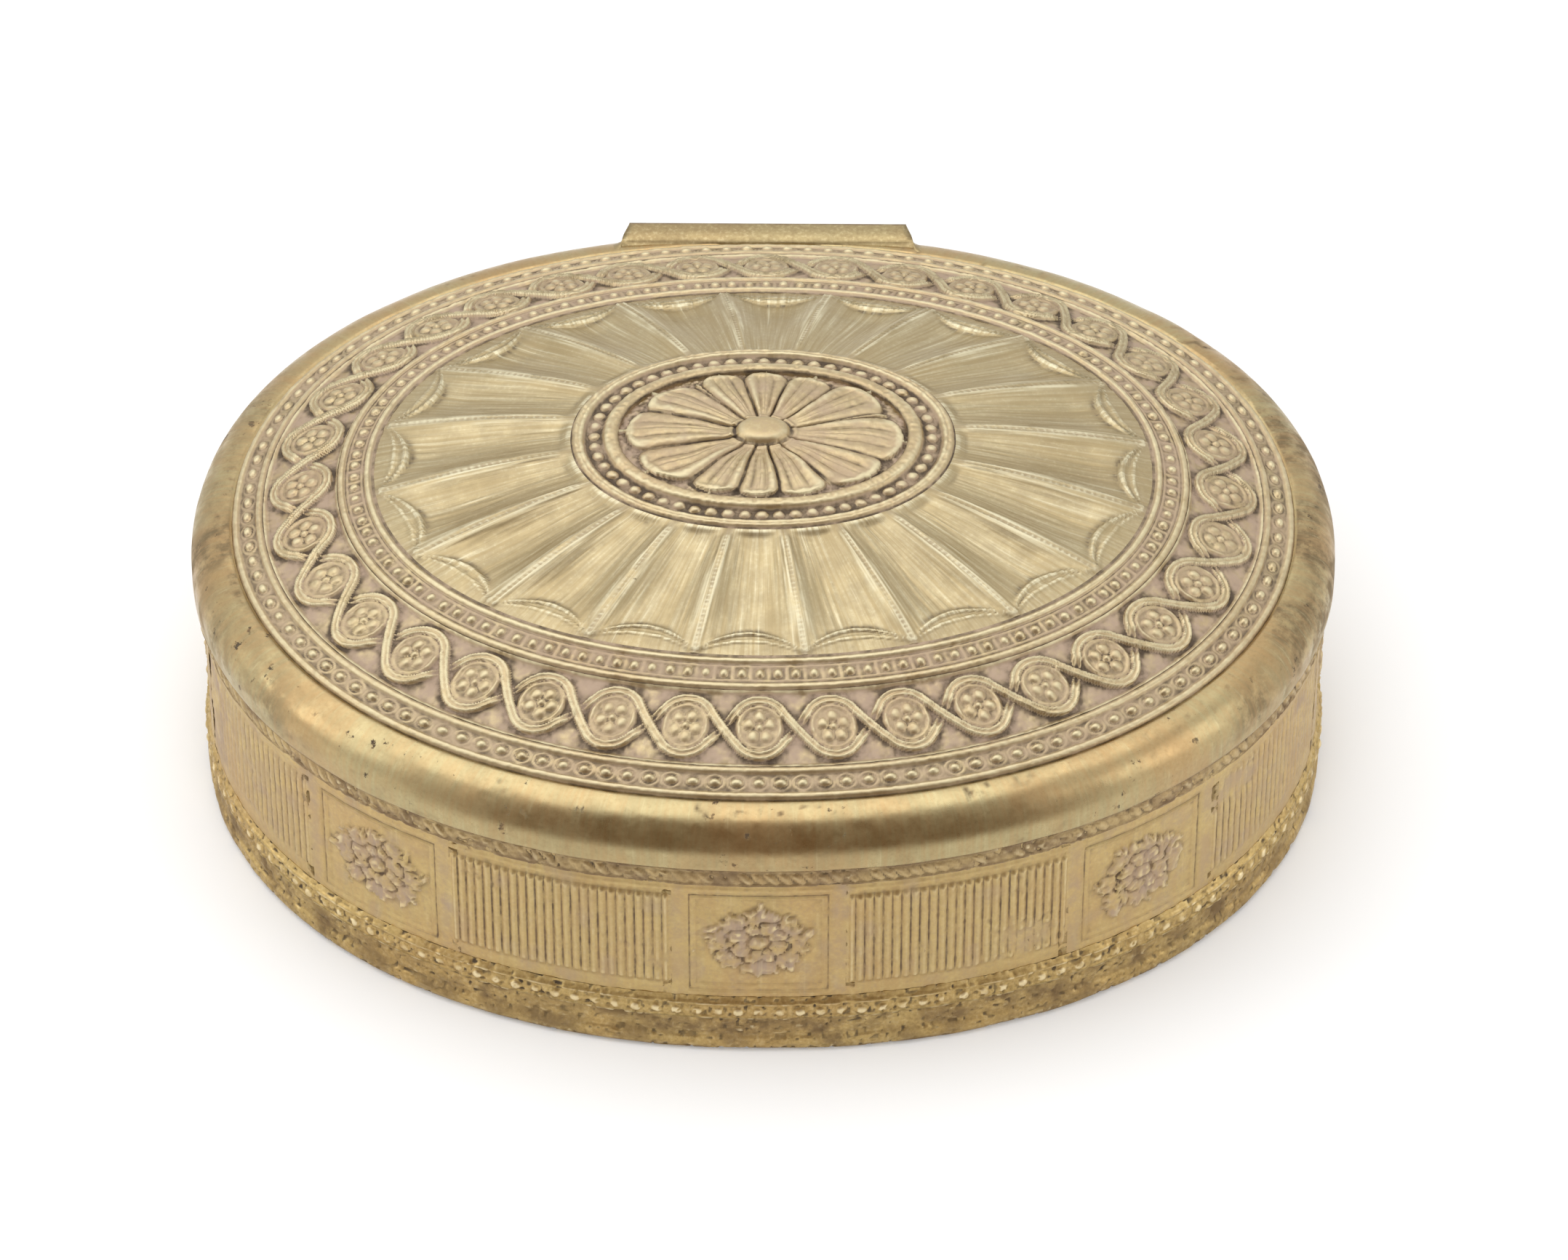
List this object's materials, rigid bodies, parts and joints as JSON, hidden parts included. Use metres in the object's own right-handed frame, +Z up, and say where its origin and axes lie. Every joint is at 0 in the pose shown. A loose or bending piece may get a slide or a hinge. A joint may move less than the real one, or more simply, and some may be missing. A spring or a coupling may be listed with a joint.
{
  "type": "oval trinket box",
  "caption": "Oval trinket box of stamped sheet brass with a domed, fluted lid that opens on a hinge at the back.",
  "frame": {"origin": "middle of the underside of the base", "axes": "+X along the length, to the right of someone facing the front; -Y to the front; +Y to the hinge; +Z up"},
  "size_m": [0.12, 0.0995, 0.0441],
  "materials": {
    "gilt_brass": "polished, warm gold",
    "patina_brass": "stamped relief with a brownish pink patina in the recesses",
    "pin_steel": "drawn wire"
  },
  "bodies": {
    "body": {"base_plate": "gilt_brass", "base_moulding": "patina_brass", "body_wall": "patina_brass", "inner_collar": "gilt_brass", "body_hinge_leaf": "gilt_brass", "hinge_pin": "pin_steel"},
    "lid": {"lid_rim": "gilt_brass", "lid_edge_moulding": "patina_brass", "lid_plaque": "patina_brass", "lid_hinge_leaf": "gilt_brass"}
  },
  "joints": [
    {"name": "lid_hinge", "type": "hinge", "parent": "body", "child": "lid", "pos_m": [0, 0.05, 0.0239], "axis": [-1, 0, 0], "range_deg": [0, 105]}
  ]
}
